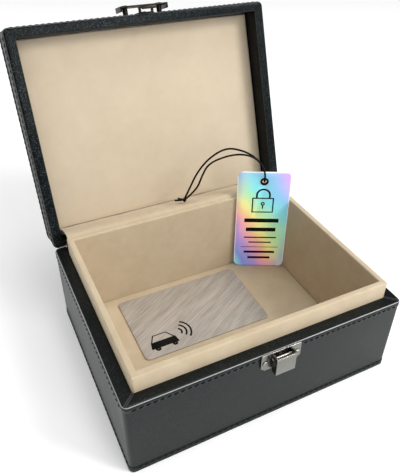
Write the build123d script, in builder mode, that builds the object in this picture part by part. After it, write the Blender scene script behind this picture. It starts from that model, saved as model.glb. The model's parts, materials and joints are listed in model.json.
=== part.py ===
from build123d import *
import os
from collections import namedtuple
from math import cos, radians, sin, tan

# A small lined key box: a board carcass wrapped in leathercloth, a raised liner tray, a hinged lid held by a
# push latch, a metallised lining behind the suede, a flat card on the floor and a swing tag on a cord.
# The lid stands open. Frame: +Z up, front towards -Y, origin under the middle of the base.

# Driving dimensions, in millimetres and degrees
box_width = 165.0
box_depth = 130.0
base_height = 53.0
lid_height = 26.2
lid_gap = 0.4
open_angle = 109.2
corner_radius = 4.0
lid_edge_radius = 3.0
rim_edge_radius = 0.6

# Sheet materials
wrap_thickness = 1.0
fold_thickness = 0.6
shield_thickness = 0.4
cover_thickness = 0.8
underside_thickness = 1.0
underside_margin = 0.5
wrap_foot_gap = 0.4

# Boards of the base
base_side_thickness = 5.9
base_front_thickness = 5.4
base_back_thickness = 6.3
base_floor_thickness = 2.5

# Liner tray
liner_board_thickness = 2.0
liner_floor_thickness = 2.0
liner_rise = 11.0
liner_corner_radius = 1.0
liner_edge_radius = 0.7
pad_thickness = 1.5
pad_gap = 0.1

# Boards, padding and panel of the lid
lid_side_thickness = 4.4
lid_front_thickness = 3.9
lid_back_thickness = 2.0
lid_top_thickness = 2.5
panel_recess = 12.2
panel_board_thickness = 2.0
panel_gap = 0.3
fold_overlap = 1.2

# Hinge of leathercloth outside and suede gusset inside
hinge_room = 0.9
spine_margin = 7.5
spine_thickness = 0.8
spine_reach = 8.0
hinge_clearance = 0.05
hinge_side_gap = 0.2
gusset_margin = 7.6
gusset_thickness = 0.8
gusset_room = 7.85
gusset_gap = 0.1
gusset_panel_gap = 0.4
gusset_overlap = 0.75
gusset_setback = 0.9
gusset_crest = 2.9
gusset_crest_radius = 2.0
gusset_shoulder_reach = 1.55
gusset_shoulder_rise = 0.2
gusset_shoulder_radius = 12.0

# Latch on the base front
clasp_x = 2.0
plate_thickness = 0.8
plate_width = 24.0
plate_height = 11.5
plate_shoulder = 2.4
plate_top_radius = 0.8
button_width = 12.0
button_height = 11.8
button_drop = 0.1
button_reach = 5.8
button_wall = 0.8
button_travel = 1.2
button_corner_radius = 0.5
button_clearance = 0.2
cheek_height = 9.2
toe_length = 1.4
toe_height = 8.4
toe_play = 0.1
bar_radius = 0.6
bar_reach = 1.9
bar_drop = 3.6
bar_fit = 0.02
bar_end_gap = 0.1
rivet_radius = 0.8
rivet_fit = 0.05
rivet_depth = 3.0
rivet_head_radius = 1.7
rivet_head_height = 0.6
latch_rivet_offset = 9.5
latch_rivet_drop = 6.3
guide_radius = 0.8
guide_drop = 8.0
guide_foot_width = 8.0
guide_foot_thickness = 0.6
guide_end_gap = 0.3
spring_radius = 1.4
spring_wire_radius = 0.2
spring_turns = 5

# Catch on the lid front
catch_width = 30.6
catch_height = 12.0
catch_rise = 2.1
catch_standoff = 4.4
catch_thickness = 0.8
catch_flange = 2.1
catch_corner_radius = 1.2
catch_rivet_offset = 11.0
spacer_radius = 1.6
tongue_width = 9.4
tongue_thickness = 0.8
tongue_strap = 1.6
tongue_foot_height = 9.8
tongue_start = 0.9
tongue_clearance = 0.1
hook_thickness = 0.7
hook_gap = 0.1
tongue_rivet_rise = 7.0

# Card lying on the floor
card_width = 85.6
card_depth = 54.0
card_thickness = 0.8
card_corner_radius = 3.2
card_x = -8.3
card_y = 20.5

# Swing tag standing in the back right corner
tag_width = 35.6
tag_height = 77.3
tag_thickness = 0.7
tag_corner_radius = 3.2
tag_turn = 26.4
tag_lean = 1.6
tag_x = 38.7
tag_y = 51.0
tag_floor_gap = 0.3
tag_pivot_rise = 0.35
eyelet_drop = 7.0
eyelet_radius = 2.0
eyelet_bore_radius = 1.5
eyelet_flange_radius = 2.8
eyelet_flange_thickness = 0.25
eyelet_fit = 0.05

# Cord of the tag: one length, from the knot over to the tag, through its eyelet from behind, and back
cord_radius = 0.6
bend_share = 0.45
cord_route = [
    (5.2, 61.7, 68.7),
    (8.3, 60.9, 75.8),
    (12.9, 59.5, 87.2),
    (20.3, 57.1, 97.4),
    (30.6, 53.8, 104.1),
    (41.3, 50.4, 101.2),
    (49.7, 47.7, 95.4),
    (54.1, 46.3, 89.0),
    (56.3, 46.43, 84.3),
    (56.22, 46.27, 77.93),
    (54.8, 43.41, 78.01),
    (54.88, 43.56, 84.2),
    (53.2, 44.6, 89.8),
    (48.9, 46.0, 96.0),
    (40.3, 48.7, 100.0),
    (29.9, 52.1, 99.1),
    (18.9, 55.7, 94.2),
    (14.9, 57.0, 84.6),
    (12.1, 58.0, 75.5),
    (5.7, 60.8, 68.6),
]
knot_centre = (4.5, 61.2, 67.6)
knot_radius = 1.7
knot_tails = [(-6.2, 1.6, 0.3), (-4.6, -0.4, 2.6)]

Edges = namedtuple("Edges", "left right front back")


def inset(edges, side, front, back):
    """Edges moved inwards by a wall on the two sides, at the front and at the back."""
    return Edges(edges.left + side, edges.right - side, edges.front + front, edges.back - back)


# Plan outlines, from the outside inwards
outer = Edges(-box_width / 2, box_width / 2, -box_depth / 2, box_depth / 2)
board_outer = inset(outer, wrap_thickness, wrap_thickness, wrap_thickness)
base_inner = inset(board_outer, base_side_thickness, base_front_thickness, base_back_thickness)
liner_outer = inset(base_inner, shield_thickness, shield_thickness, shield_thickness)
liner_board_outer = inset(liner_outer, cover_thickness, cover_thickness, cover_thickness)
liner_board_inner = inset(liner_board_outer, *[liner_board_thickness] * 3)
liner_inner = inset(liner_board_inner, cover_thickness, cover_thickness, cover_thickness)
lid_inner = inset(board_outer, lid_side_thickness, lid_front_thickness, lid_back_thickness)
fold_outer = inset(lid_inner, shield_thickness, shield_thickness, shield_thickness)
recess = inset(fold_outer, fold_thickness, fold_thickness, fold_thickness)

# Heights of the base
rim_underside = base_height - wrap_thickness
floor_board_top = underside_thickness + base_floor_thickness
shield_floor_top = floor_board_top + shield_thickness
liner_floor_top = shield_floor_top + liner_floor_thickness
floor_top = liner_floor_top + pad_thickness
liner_top = base_height + liner_rise

# Heights of the closed lid
lid_rim = base_height + lid_gap
lid_rim_inside = lid_rim + wrap_thickness
lid_top = lid_rim + lid_height
lid_board_underside = lid_top - wrap_thickness - lid_top_thickness
lid_shield_underside = lid_board_underside - shield_thickness
panel_face = lid_rim + panel_recess
panel_board_face = panel_face + cover_thickness
panel_board_back = panel_board_face + panel_board_thickness

# Widths of the hinge's two strips
spine_width = box_width - 2 * spine_margin
gusset_width = box_width - 2 * gusset_margin

# The hinge line runs through the middle of the leathercloth, halfway between the two rims
hinge_y = board_outer.back + hinge_clearance + spine_thickness / 2
hinge_z = base_height + lid_gap / 2
lean = radians(open_angle)
lid_frame = Plane(origin=(0, hinge_y, hinge_z), x_dir=(1, 0, 0), z_dir=(0, sin(lean), cos(lean)))
lid_up = Axis((0, 0, 0), lid_frame.z_dir)


def opened(x, y, z):
    """Where a point of the closed lid lies once the lid stands open."""
    return lid_frame.from_local_coords(Vector(x, y - hinge_y, z - hinge_z))


def base_level(height):
    """Horizontal plane of the base."""
    return Plane.XY.offset(height)


def lid_level(height):
    """Plane across the open lid, drawn with the closed box's x and y at a closed height."""
    return Plane(origin=opened(0, 0, height), x_dir=(1, 0, 0), z_dir=lid_frame.z_dir)


def base_front(outward):
    """Plane along the base's front face, drawn with x and z."""
    return Plane(origin=(0, outer.front - outward, 0), x_dir=(1, 0, 0), z_dir=(0, -1, 0))


def lid_front(outward):
    """Plane along the open lid's front face, drawn with the closed box's x and z."""
    return Plane(origin=opened(0, outer.front - outward, 0), x_dir=(1, 0, 0), z_dir=-lid_frame.y_dir)


def slab(level, bottom, top, edges, radius=0.0, mode=Mode.ADD):
    """Rectangle between four edges, extruded from one level to another."""
    with BuildSketch(level(bottom)) as outline:
        with Locations(((edges.left + edges.right) / 2, (edges.front + edges.back) / 2)):
            if radius > 0:
                RectangleRounded(edges.right - edges.left, edges.back - edges.front, radius)
            else:
                Rectangle(edges.right - edges.left, edges.back - edges.front)
    extrude(outline.sketch, amount=top - bottom, mode=mode)


def pegs(level, bottom, top, places, radius, mode=Mode.ADD):
    """Round pegs at several places, extruded from one level to another."""
    with BuildSketch(level(bottom)) as outline:
        with Locations(*places):
            Circle(radius)
    extrude(outline.sketch, amount=top - bottom, mode=mode)


def bevel_back_rim(back, rim, direction, to_place):
    """Cut the outer back corner of a rim at 45 degrees, so that the two rims pass as the lid swings."""
    corners = [(0, back - hinge_room, rim), (0, back, rim), (0, back, rim + direction * hinge_room)]
    start, corner, end = [to_place(*point) for point in corners]
    overrun = (corner - (start + end) / 2) * 2
    with BuildSketch(Plane.YZ.offset(outer.left)) as wedge:
        with BuildLine():
            Polyline(*[(p.Y, p.Z) for p in (start, start + overrun, end + overrun, end)], close=True)
        make_face()
    extrude(wedge.sketch, amount=box_width, mode=Mode.SUBTRACT)


def mitred(points, shift):
    """Points of a path in the YZ plane, moved sideways by a distance with mitred corners."""
    moved = []
    for place, point in enumerate(points):
        before = (point - points[place - 1]).normalized() if place > 0 else None
        after = (points[place + 1] - point).normalized() if place + 1 < len(points) else None
        before, after = before or after, after or before
        sideways = (before + after).normalized().rotate(Axis.X, 90)
        stretch = 1 / sideways.dot(before.rotate(Axis.X, 90))
        moved.append(point + sideways * (shift * stretch))
    return moved


def flat_points(points):
    """The Y and Z of points in the YZ plane."""
    return [(point.Y, point.Z) for point in points]


def corner_radii(points):
    """Bend radius at each inner point: as large as the two runs beside it allow."""
    radii = []
    for before, point, after in zip(points, points[1:], points[2:]):
        run_in, run_out = Vector(*point) - Vector(*before), Vector(*after) - Vector(*point)
        half_turn = radians(run_in.get_angle(run_out) / 2)
        radii.append(bend_share * min(run_in.length, run_out.length) / tan(half_turn))
    return radii


def save(piece, name):
    """Label a finished piece and write it out."""
    piece.part.label = name
    export_step(piece.part, f"parts/{name}.step")


def save_walls(prefix, level, bottom, top, outside, inside, radius=0.0, front_cut=None):
    """Four wall boards: front and back run the full width, the side boards stand between them."""
    walls = {
        "front": Edges(outside.left, outside.right, outside.front, inside.front),
        "back": Edges(outside.left, outside.right, inside.back, outside.back),
        "left": Edges(outside.left, inside.left, inside.front, inside.back),
        "right": Edges(inside.right, outside.right, inside.front, inside.back),
    }
    for name, edges in walls.items():
        with BuildPart() as board:
            slab(level, bottom, top, outside, radius)
            slab(level, bottom, top, edges, mode=Mode.INTERSECT)
            if name == "front" and front_cut:
                front_cut()
        save(board, f"{prefix}_{name}_board")


os.makedirs("parts", exist_ok=True)

# Latch places, on the front face
button_top = base_height - button_drop
button_bottom = button_top - button_height
button_side = button_width / 2
cheek_top = rim_underside - button_clearance
cheek_bottom = cheek_top - cheek_height
window = Edges(
    clasp_x - button_side - button_clearance,
    clasp_x + button_side + button_clearance,
    cheek_bottom - button_clearance,
    rim_underside,
)
pocket_depth = toe_play + button_wall + button_travel + toe_play
pocket = Edges(window.left - toe_length, window.right + toe_length, window.front, window.back)
rivet_places = [(clasp_x + side * latch_rivet_offset, base_height - latch_rivet_drop) for side in (-1, 1)]

# Catch places, on the lid's front face at closed heights
catch_bottom = lid_rim + catch_rise
catch_edges = Edges(
    clasp_x - catch_width / 2, clasp_x + catch_width / 2, catch_bottom, catch_bottom + catch_height
)
catch_middle = catch_bottom + catch_height / 2
catch_rivet_places = [(clasp_x + side * catch_rivet_offset, catch_middle) for side in (-1, 1)]
tongue_rivet_places = [(clasp_x, lid_rim + tongue_rivet_rise)]
bar_z = base_height - bar_drop


def cut_latch_seat():
    """Pocket for the button's toes and blind holes for the latch rivets, cut from the base front."""
    slab(base_front, -pocket_depth, 0, pocket, mode=Mode.SUBTRACT)
    pegs(base_front, -rivet_depth, 0, rivet_places, rivet_radius + rivet_fit, Mode.SUBTRACT)


def cut_catch_seat():
    """Blind holes for the catch rivets, cut from the lid front."""
    places = catch_rivet_places + tongue_rivet_places
    pegs(lid_front, -rivet_depth, 0, places, rivet_radius + rivet_fit, Mode.SUBTRACT)


# Base carcass
with BuildPart() as base_underside:
    margin = underside_margin
    slab(base_level, 0, underside_thickness, inset(board_outer, margin, margin, margin),
         corner_radius - wrap_thickness - margin)
save(base_underside, "base_underside")

with BuildPart() as base_floor_board:
    slab(base_level, underside_thickness, floor_board_top, board_outer, corner_radius - wrap_thickness)
save(base_floor_board, "base_floor_board")

save_walls("base", base_level, floor_board_top, rim_underside, board_outer, base_inner,
           corner_radius - wrap_thickness, cut_latch_seat)

with BuildPart() as base_wrap:
    slab(base_level, wrap_foot_gap, base_height, outer, corner_radius)
    fillet(base_wrap.faces().sort_by(Axis.Z)[-1].edges(), rim_edge_radius)
    bevel_back_rim(outer.back, base_height, -1, Vector)
    slab(base_level, wrap_foot_gap, rim_underside, board_outer, corner_radius - wrap_thickness, Mode.SUBTRACT)
    slab(base_level, rim_underside, base_height, liner_outer, mode=Mode.SUBTRACT)
    slab(base_level, base_height - spine_reach, base_height,
         Edges(-spine_width / 2, spine_width / 2, board_outer.back, outer.back), mode=Mode.SUBTRACT)
    cut_latch_seat()
save(base_wrap, "base_wrap")

with BuildPart() as base_shield:
    slab(base_level, floor_board_top, rim_underside, base_inner)
    slab(base_level, shield_floor_top, rim_underside, liner_outer, mode=Mode.SUBTRACT)
save(base_shield, "base_shield")

# Liner tray
with BuildPart() as liner_floor_board:
    slab(base_level, shield_floor_top, liner_floor_top, liner_outer)
save(liner_floor_board, "liner_floor_board")

save_walls("liner", base_level, liner_floor_top, liner_top - cover_thickness,
           liner_board_outer, liner_board_inner)

with BuildPart() as liner_cover:
    slab(base_level, liner_floor_top, liner_top, liner_outer, liner_corner_radius)
    slab(base_level, liner_floor_top, liner_top, liner_inner, mode=Mode.SUBTRACT)
    fillet(liner_cover.faces().sort_by(Axis.Z)[-1].edges(), liner_edge_radius)
    with BuildSketch(base_level(liner_floor_top)):
        for edges, mode in [(liner_board_outer, Mode.ADD), (liner_board_inner, Mode.SUBTRACT)]:
            with Locations(((edges.left + edges.right) / 2, (edges.front + edges.back) / 2)):
                Rectangle(edges.right - edges.left, edges.back - edges.front, mode=mode)
    extrude(amount=liner_top - cover_thickness - liner_floor_top, mode=Mode.SUBTRACT)
save(liner_cover, "liner_cover")

with BuildPart() as floor_pad:
    slab(base_level, liner_floor_top, floor_top, inset(liner_inner, pad_gap, pad_gap, pad_gap))
save(floor_pad, "floor_pad")

with BuildPart() as inlay_card:
    card_edges = Edges(
        card_x - card_width / 2, card_x + card_width / 2, card_y - card_depth / 2, card_y + card_depth / 2
    )
    slab(base_level, floor_top, floor_top + card_thickness, card_edges, card_corner_radius)
save(inlay_card, "inlay_card")

# Lid carcass, in the open lid's own planes
with BuildPart() as lid_top_board:
    slab(lid_level, lid_board_underside, lid_top - wrap_thickness,
         board_outer, corner_radius - wrap_thickness)
    fillet(lid_top_board.faces().sort_by(lid_up)[-1].edges(), lid_edge_radius - wrap_thickness)
save(lid_top_board, "lid_top_board")

save_walls("lid", lid_level, lid_rim_inside, lid_board_underside, board_outer, lid_inner,
           corner_radius - wrap_thickness, cut_catch_seat)

with BuildPart() as lid_core:
    slab(lid_level, lid_rim_inside, lid_top - wrap_thickness, board_outer, corner_radius - wrap_thickness)
    fillet(lid_core.faces().sort_by(lid_up)[-1].edges(), lid_edge_radius - wrap_thickness)

fold_end = panel_face + fold_overlap
with BuildPart() as lid_wrap:
    slab(lid_level, lid_rim, lid_top, outer, corner_radius)
    fillet(lid_wrap.faces().sort_by(lid_up)[-1].edges(), lid_edge_radius)
    fillet(lid_wrap.faces().sort_by(lid_up)[0].edges(), rim_edge_radius)
    bevel_back_rim(outer.back, lid_rim, 1, opened)
    add(lid_core.part, mode=Mode.SUBTRACT)
    slab(lid_level, lid_rim_inside, fold_end, fold_outer)
    slab(lid_level, lid_rim, fold_end, recess, mode=Mode.SUBTRACT)
    slab(lid_level, lid_rim, lid_rim + spine_reach,
         Edges(-spine_width / 2, spine_width / 2, board_outer.back, outer.back), mode=Mode.SUBTRACT)
    cut_catch_seat()
save(lid_wrap, "lid_wrap")

with BuildPart() as lid_shield:
    slab(lid_level, lid_rim_inside, lid_board_underside, lid_inner)
    slab(lid_level, lid_rim_inside, lid_shield_underside, fold_outer, mode=Mode.SUBTRACT)
save(lid_shield, "lid_shield")

panel = inset(recess, panel_gap, panel_gap, panel_gap)._replace(back=hinge_y - gusset_room)
panel_board = inset(panel, cover_thickness, cover_thickness, cover_thickness)

with BuildPart() as lid_foam:
    slab(lid_level, panel_board_back, lid_shield_underside, panel)
save(lid_foam, "lid_foam")

with BuildPart() as lid_panel_board:
    slab(lid_level, panel_board_face, panel_board_back, panel_board)
save(lid_panel_board, "lid_panel_board")

with BuildPart() as lid_panel_cover:
    slab(lid_level, panel_face, panel_board_back, panel)
    slab(lid_level, panel_board_face, panel_board_back, panel_board, mode=Mode.SUBTRACT)
save(lid_panel_cover, "lid_panel_cover")

# Leathercloth spine: one leaf glued down the back of the base, the other along the back of the lid
spine_half = spine_thickness / 2
spine_leaf = spine_reach - hinge_side_gap
spine_side = spine_width / 2 - hinge_side_gap
hinge_point = Vector(0, hinge_y, hinge_z)
with BuildPart() as hinge_spine:
    spine_path = [
        Vector(0, hinge_y, hinge_z - spine_leaf),
        hinge_point,
        hinge_point + lid_frame.z_dir * spine_leaf,
    ]
    spine_corners = mitred(spine_path, -spine_half) + mitred(spine_path, spine_half)[::-1]
    with BuildSketch(Plane.YZ.offset(-spine_side)):
        with BuildLine():
            Polyline(*flat_points(spine_corners), close=True)
        make_face()
    extrude(amount=2 * spine_side)
save(hinge_spine, "hinge_spine")

# Suede gusset: stands on the liner's back wall, rolls over it and runs down to the back edge of the panel
gusset_half = gusset_thickness / 2
gusset_start_y = liner_inner.back + gusset_setback
with BuildPart() as hinge_gusset:
    gusset_path = [
        Vector(0, gusset_start_y, liner_top + gusset_gap),
        Vector(0, gusset_start_y, liner_top + gusset_crest),
        Vector(0, hinge_y + gusset_shoulder_reach, liner_top + gusset_shoulder_rise),
        opened(0, panel.back + gusset_panel_gap + gusset_half, panel_face + gusset_overlap),
    ]
    with BuildSketch(Plane.YZ.offset(-gusset_width / 2)):
        with BuildLine():
            faces_of_strip = []
            for side in (-gusset_half, gusset_half):
                bends = [gusset_crest_radius + side, gusset_shoulder_radius + side]
                faces_of_strip.append(FilletPolyline(*flat_points(mitred(gusset_path, side)), radius=bends))
            under, over = faces_of_strip
            Line(under @ 0, over @ 0)
            Line(under @ 1, over @ 1)
        make_face()
    extrude(amount=gusset_width)
save(hinge_gusset, "hinge_gusset")

# Latch on the base front
with BuildPart() as latch_plate:
    with BuildSketch(base_front(0)):
        with Locations((clasp_x, base_height - plate_height / 2)):
            plate_outline = Rectangle(plate_width, plate_height)
        chamfer(plate_outline.vertices().group_by(Axis.Y)[0], plate_shoulder)
        fillet(plate_outline.vertices().group_by(Axis.Y)[-1], plate_top_radius)
    extrude(amount=plate_thickness)
    slab(base_front, 0, plate_thickness, window, mode=Mode.SUBTRACT)
    pegs(base_front, 0, plate_thickness, rivet_places, rivet_radius + rivet_fit, Mode.SUBTRACT)
save(latch_plate, "latch_plate")

with BuildPart() as latch_rivets:
    pegs(base_front, -rivet_depth, plate_thickness, rivet_places, rivet_radius)
    pegs(base_front, plate_thickness, plate_thickness + rivet_head_height, rivet_places, rivet_head_radius)
    heads = latch_rivets.faces().group_by(Axis.Y)[0].edges()
    fillet(heads, rivet_head_height / 2)
save(latch_rivets, "latch_rivets")

button_inside = button_reach - button_wall
cheek_stop = plate_thickness + button_travel + toe_play
toe_back = -toe_play - button_wall
with BuildPart() as latch_button:
    left, right = clasp_x - button_side, clasp_x + button_side
    slab(base_front, cheek_stop, button_reach, Edges(left, right, button_bottom, button_top))
    slab(base_front, toe_back, cheek_stop, Edges(left, right, cheek_bottom, cheek_top))
    upright_edges = latch_button.edges().filter_by(Axis.Z).group_by(Axis.Y)[0]
    fillet(upright_edges, button_corner_radius)
    slab(base_front, toe_back, button_inside,
         Edges(left + button_wall, right - button_wall, button_bottom, button_top), mode=Mode.SUBTRACT)
    toe_bottom = (cheek_bottom + cheek_top - toe_height) / 2
    for toe_left in (left - toe_length + button_clearance, right):
        toe_edges = Edges(
            toe_left, toe_left + toe_length - button_clearance, toe_bottom, toe_bottom + toe_height
        )
        slab(base_front, toe_back, -toe_play, toe_edges)
    with BuildSketch(Plane.YZ.offset(left - toe_length)):
        with Locations((outer.front - bar_reach, bar_z)):
            Circle(bar_radius + bar_fit)
    extrude(amount=button_width + 2 * toe_length, mode=Mode.SUBTRACT)
save(latch_button, "latch_button")

with BuildPart() as latch_bar:
    with BuildSketch(Plane.YZ.offset(left + bar_end_gap)):
        with Locations((outer.front - bar_reach, bar_z)):
            Circle(bar_radius)
    extrude(amount=button_width - 2 * bar_end_gap)
save(latch_bar, "latch_bar")

guide_place = [(clasp_x, base_height - guide_drop)]
guide_foot_top = guide_foot_thickness - pocket_depth
guide_end = button_inside - button_travel - guide_end_gap
with BuildPart() as latch_guide:
    foot_bottom = window.front + button_clearance
    foot = Edges(clasp_x - guide_foot_width / 2, clasp_x + guide_foot_width / 2,
                 foot_bottom, 2 * guide_place[0][1] - foot_bottom)
    slab(base_front, -pocket_depth, guide_foot_top, foot)
    pegs(base_front, guide_foot_top, guide_end, guide_place, guide_radius)
save(latch_guide, "latch_guide")

spring_length = button_inside - guide_foot_top - 2 * spring_wire_radius
with BuildPart() as latch_spring:
    spring_start = (clasp_x, outer.front - guide_foot_top - spring_wire_radius, guide_place[0][1])
    with BuildLine() as coil:
        Helix(spring_length / spring_turns, spring_length, spring_radius, center=spring_start,
              direction=(0, -1, 0))
    with BuildSketch(Plane(origin=coil.line @ 0, z_dir=coil.line % 0)):
        Circle(spring_wire_radius)
    sweep(path=coil.line, is_frenet=True)
save(latch_spring, "latch_spring")

# Catch on the lid front
catch_face = catch_standoff + catch_thickness
with BuildPart() as catch_plate:
    slab(lid_front, catch_flange, catch_face, catch_edges, catch_corner_radius)
    between_flanges = Edges(catch_edges.left + catch_thickness, catch_edges.right - catch_thickness,
                            catch_edges.front, catch_edges.back)
    slab(lid_front, catch_flange, catch_standoff, between_flanges, mode=Mode.SUBTRACT)
    pegs(lid_front, catch_standoff, catch_face, catch_rivet_places, rivet_radius + rivet_fit, Mode.SUBTRACT)
save(catch_plate, "catch_plate")

tongue_bottom = bar_z - bar_radius - hook_gap - hook_thickness
tongue_outside = button_inside - button_travel - tongue_clearance
tongue_inside = tongue_outside - tongue_thickness
with BuildPart() as catch_tongue:
    left, right = clasp_x - tongue_width / 2, clasp_x + tongue_width / 2
    foot_start = lid_rim + tongue_start
    shoulder = foot_start + tongue_thickness
    slab(lid_front, 0, tongue_thickness, Edges(left, right, foot_start, foot_start + tongue_foot_height))
    slab(lid_front, 0, tongue_outside, Edges(left, right, foot_start, shoulder))
    between_straps = Edges(left + tongue_strap, right - tongue_strap, foot_start, shoulder)
    slab(lid_front, tongue_thickness, tongue_inside, between_straps, mode=Mode.SUBTRACT)
    slab(lid_front, tongue_inside, tongue_outside, Edges(left, right, tongue_bottom, shoulder))
    slab(lid_front, bar_reach, tongue_outside,
         Edges(left, right, tongue_bottom, tongue_bottom + hook_thickness))
    pegs(lid_front, 0, tongue_thickness, tongue_rivet_places, rivet_radius + rivet_fit, Mode.SUBTRACT)
save(catch_tongue, "catch_tongue")

with BuildPart() as catch_rivets:
    pegs(lid_front, -rivet_depth, catch_face, catch_rivet_places, rivet_radius)
    pegs(lid_front, 0, catch_standoff, catch_rivet_places, spacer_radius)
    pegs(lid_front, catch_face, catch_face + rivet_head_height, catch_rivet_places, rivet_head_radius)
    pegs(lid_front, -rivet_depth, tongue_thickness, tongue_rivet_places, rivet_radius)
    pegs(lid_front, tongue_thickness, tongue_thickness + rivet_head_height, tongue_rivet_places,
         rivet_head_radius)
save(catch_rivets, "catch_rivets")

# Swing tag, on a plane that leans against the right wall; it folds forward about a line near its foot
turn, tilt = radians(tag_turn), radians(tag_lean)
tag_pivot = (tag_x, tag_y, floor_top + tag_floor_gap + tag_pivot_rise)
tag_plane = Plane(
    origin=tag_pivot,
    x_dir=(cos(turn), -sin(turn), 0),
    z_dir=(-sin(turn) * cos(tilt), -cos(turn) * cos(tilt), sin(tilt)),
)
tag_edges = Edges(0, tag_width, -tag_pivot_rise, tag_height - tag_pivot_rise)
eyelet_place = [(tag_width / 2, tag_edges.back - eyelet_drop)]


def tag_level(forward):
    """Plane along the tag, a little in front of or behind its middle."""
    return tag_plane.offset(forward)


tag_half = tag_thickness / 2
with BuildPart() as hang_tag:
    slab(tag_level, -tag_half, tag_half, tag_edges, tag_corner_radius)
    pegs(tag_level, -tag_half, tag_half, eyelet_place, eyelet_radius + eyelet_fit, Mode.SUBTRACT)
save(hang_tag, "hang_tag")

flange_outside = tag_half + eyelet_flange_thickness
with BuildPart() as tag_eyelet:
    pegs(tag_level, -tag_half, tag_half, eyelet_place, eyelet_radius)
    pegs(tag_level, tag_half, flange_outside, eyelet_place, eyelet_flange_radius)
    pegs(tag_level, -flange_outside, -tag_half, eyelet_place, eyelet_flange_radius)
    pegs(tag_level, -flange_outside, flange_outside, eyelet_place, eyelet_bore_radius, Mode.SUBTRACT)
save(tag_eyelet, "tag_eyelet")


cord_radii = corner_radii(cord_route)
with BuildPart() as hang_cord:
    with BuildLine() as cord_path:
        FilletPolyline(*cord_route, radius=cord_radii)
    with BuildSketch(Plane(origin=cord_path.line @ 0, z_dir=cord_path.line % 0)):
        Circle(cord_radius)
    sweep(path=cord_path.line)
save(hang_cord, "hang_cord")
cord_length = cord_path.wires()[0].length
cord_volume = Circle(cord_radius).area * cord_length
print("cord length", round(cord_length, 1), "bend radii", [round(radius, 1) for radius in cord_radii])
print("cord volume against section times length", round(hang_cord.part.volume / cord_volume, 4))

with BuildPart() as cord_knot:
    with Locations(knot_centre):
        Sphere(knot_radius)
    for tail in knot_tails:
        with BuildSketch(Plane(origin=knot_centre, z_dir=tail)):
            Circle(cord_radius)
        extrude(amount=Vector(*tail).length)
save(cord_knot, "cord_knot")
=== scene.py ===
import json
from math import acos, atan2, cos, pi, radians, sin, tau

import bmesh
import bpy
import numpy as np
from mathutils import Matrix, Vector


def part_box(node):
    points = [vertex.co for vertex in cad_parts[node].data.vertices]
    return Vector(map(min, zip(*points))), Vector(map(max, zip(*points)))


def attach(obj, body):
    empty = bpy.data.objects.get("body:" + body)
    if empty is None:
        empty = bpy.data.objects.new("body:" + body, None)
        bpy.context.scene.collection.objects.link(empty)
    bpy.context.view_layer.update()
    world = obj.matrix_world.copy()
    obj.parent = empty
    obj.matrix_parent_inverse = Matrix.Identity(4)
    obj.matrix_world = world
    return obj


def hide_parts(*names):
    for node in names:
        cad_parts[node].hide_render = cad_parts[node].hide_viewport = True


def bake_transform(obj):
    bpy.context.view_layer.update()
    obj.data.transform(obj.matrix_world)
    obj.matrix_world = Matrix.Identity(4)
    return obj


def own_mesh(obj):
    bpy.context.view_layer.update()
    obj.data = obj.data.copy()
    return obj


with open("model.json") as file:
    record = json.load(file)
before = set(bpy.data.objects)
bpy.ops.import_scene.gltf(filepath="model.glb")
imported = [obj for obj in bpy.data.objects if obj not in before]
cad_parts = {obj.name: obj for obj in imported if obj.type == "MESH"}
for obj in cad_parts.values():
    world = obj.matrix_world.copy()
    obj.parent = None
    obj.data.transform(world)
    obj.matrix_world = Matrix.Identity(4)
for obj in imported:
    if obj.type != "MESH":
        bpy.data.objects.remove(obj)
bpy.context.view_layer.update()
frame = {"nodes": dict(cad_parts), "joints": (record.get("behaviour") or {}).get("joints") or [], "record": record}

# Looks of a small lined key box: leathercloth outside, microsuede inside, satin nickel latch, swing tag on a
# cord and a flat card in the tray. The lid's pieces are modelled shut and then swung open about the hinge.

MM = 0.001
UP, RIGHT, BACK = Vector((0, 0, 1)), Vector((1, 0, 0)), Vector((0, 1, 0))

JOINTS = {joint["name"]: joint for joint in frame["joints"]}
HINGE = Vector(JOINTS["lid_hinge"]["pos_m"])
OPEN_ANGLE = radians(JOINTS["lid_hinge"]["range_deg"][1])
LID_TURN = Matrix.Rotation(-OPEN_ANGLE, 4, "X")
TO_OPEN = Matrix.Translation(HINGE) @ LID_TURN @ Matrix.Translation(-HINGE)
TO_SHUT = TO_OPEN.inverted()
LID_TILT = (OPEN_ANGLE, 0, 0)

# Sheet materials and edges
LEATHER_THICKNESS, LID_LEATHER_THICKNESS = 0.8 * MM, 0.5 * MM
SUEDE_THICKNESS, STRIP_THICKNESS = 0.6 * MM, 0.7 * MM
CORNER_RADIUS, TRAY_CORNER_RADIUS = 3.2 * MM, 1.2 * MM
RIM_ROLL, INNER_ROLL, LID_EDGE_ROLL, SUEDE_ROLL = 1.2 * MM, 1.0 * MM, 3 * MM, 1.1 * MM
TURN_DOWN = 1.2 * MM
HEM_HEIGHT, HEM_THICKNESS = 3.7 * MM, 0.25 * MM
HINGE_ROOM, HINGE_ROOM_PROFILE = 1.0 * MM, 0.25
TRAY_WALL = 3.6 * MM
LID_RIM_SIDE, LID_RIM_FRONT, LID_RIM_BACK = 6.4 * MM, 5.9 * MM, 4.0 * MM
GRAIN_PITCH = 1.0 * MM
SEAM_WIDTH, SEAM_DEPTH, SEAM_PAST = 0.45 * MM, 0.3 * MM, 0.3 * MM
CUT_PAST = 1 * MM
TOLERANCE, WELD = 0.02 * MM, 0.01 * MM

# Hinge strips
STRIP_ROOM, STRIP_SIDE_GAP = 0.2 * MM, 0.1 * MM
SPINE_BEND = 0.9 * MM
LID_NOTCH_DEPTH, LID_NOTCH_REACH = 1.4 * MM, 8.0 * MM
GUSSET_CELLS, SPINE_CELLS = 40, 30
CRINKLE_SIZE, CRINKLE_DEPTH = 9 * MM, 0.35 * MM

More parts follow.
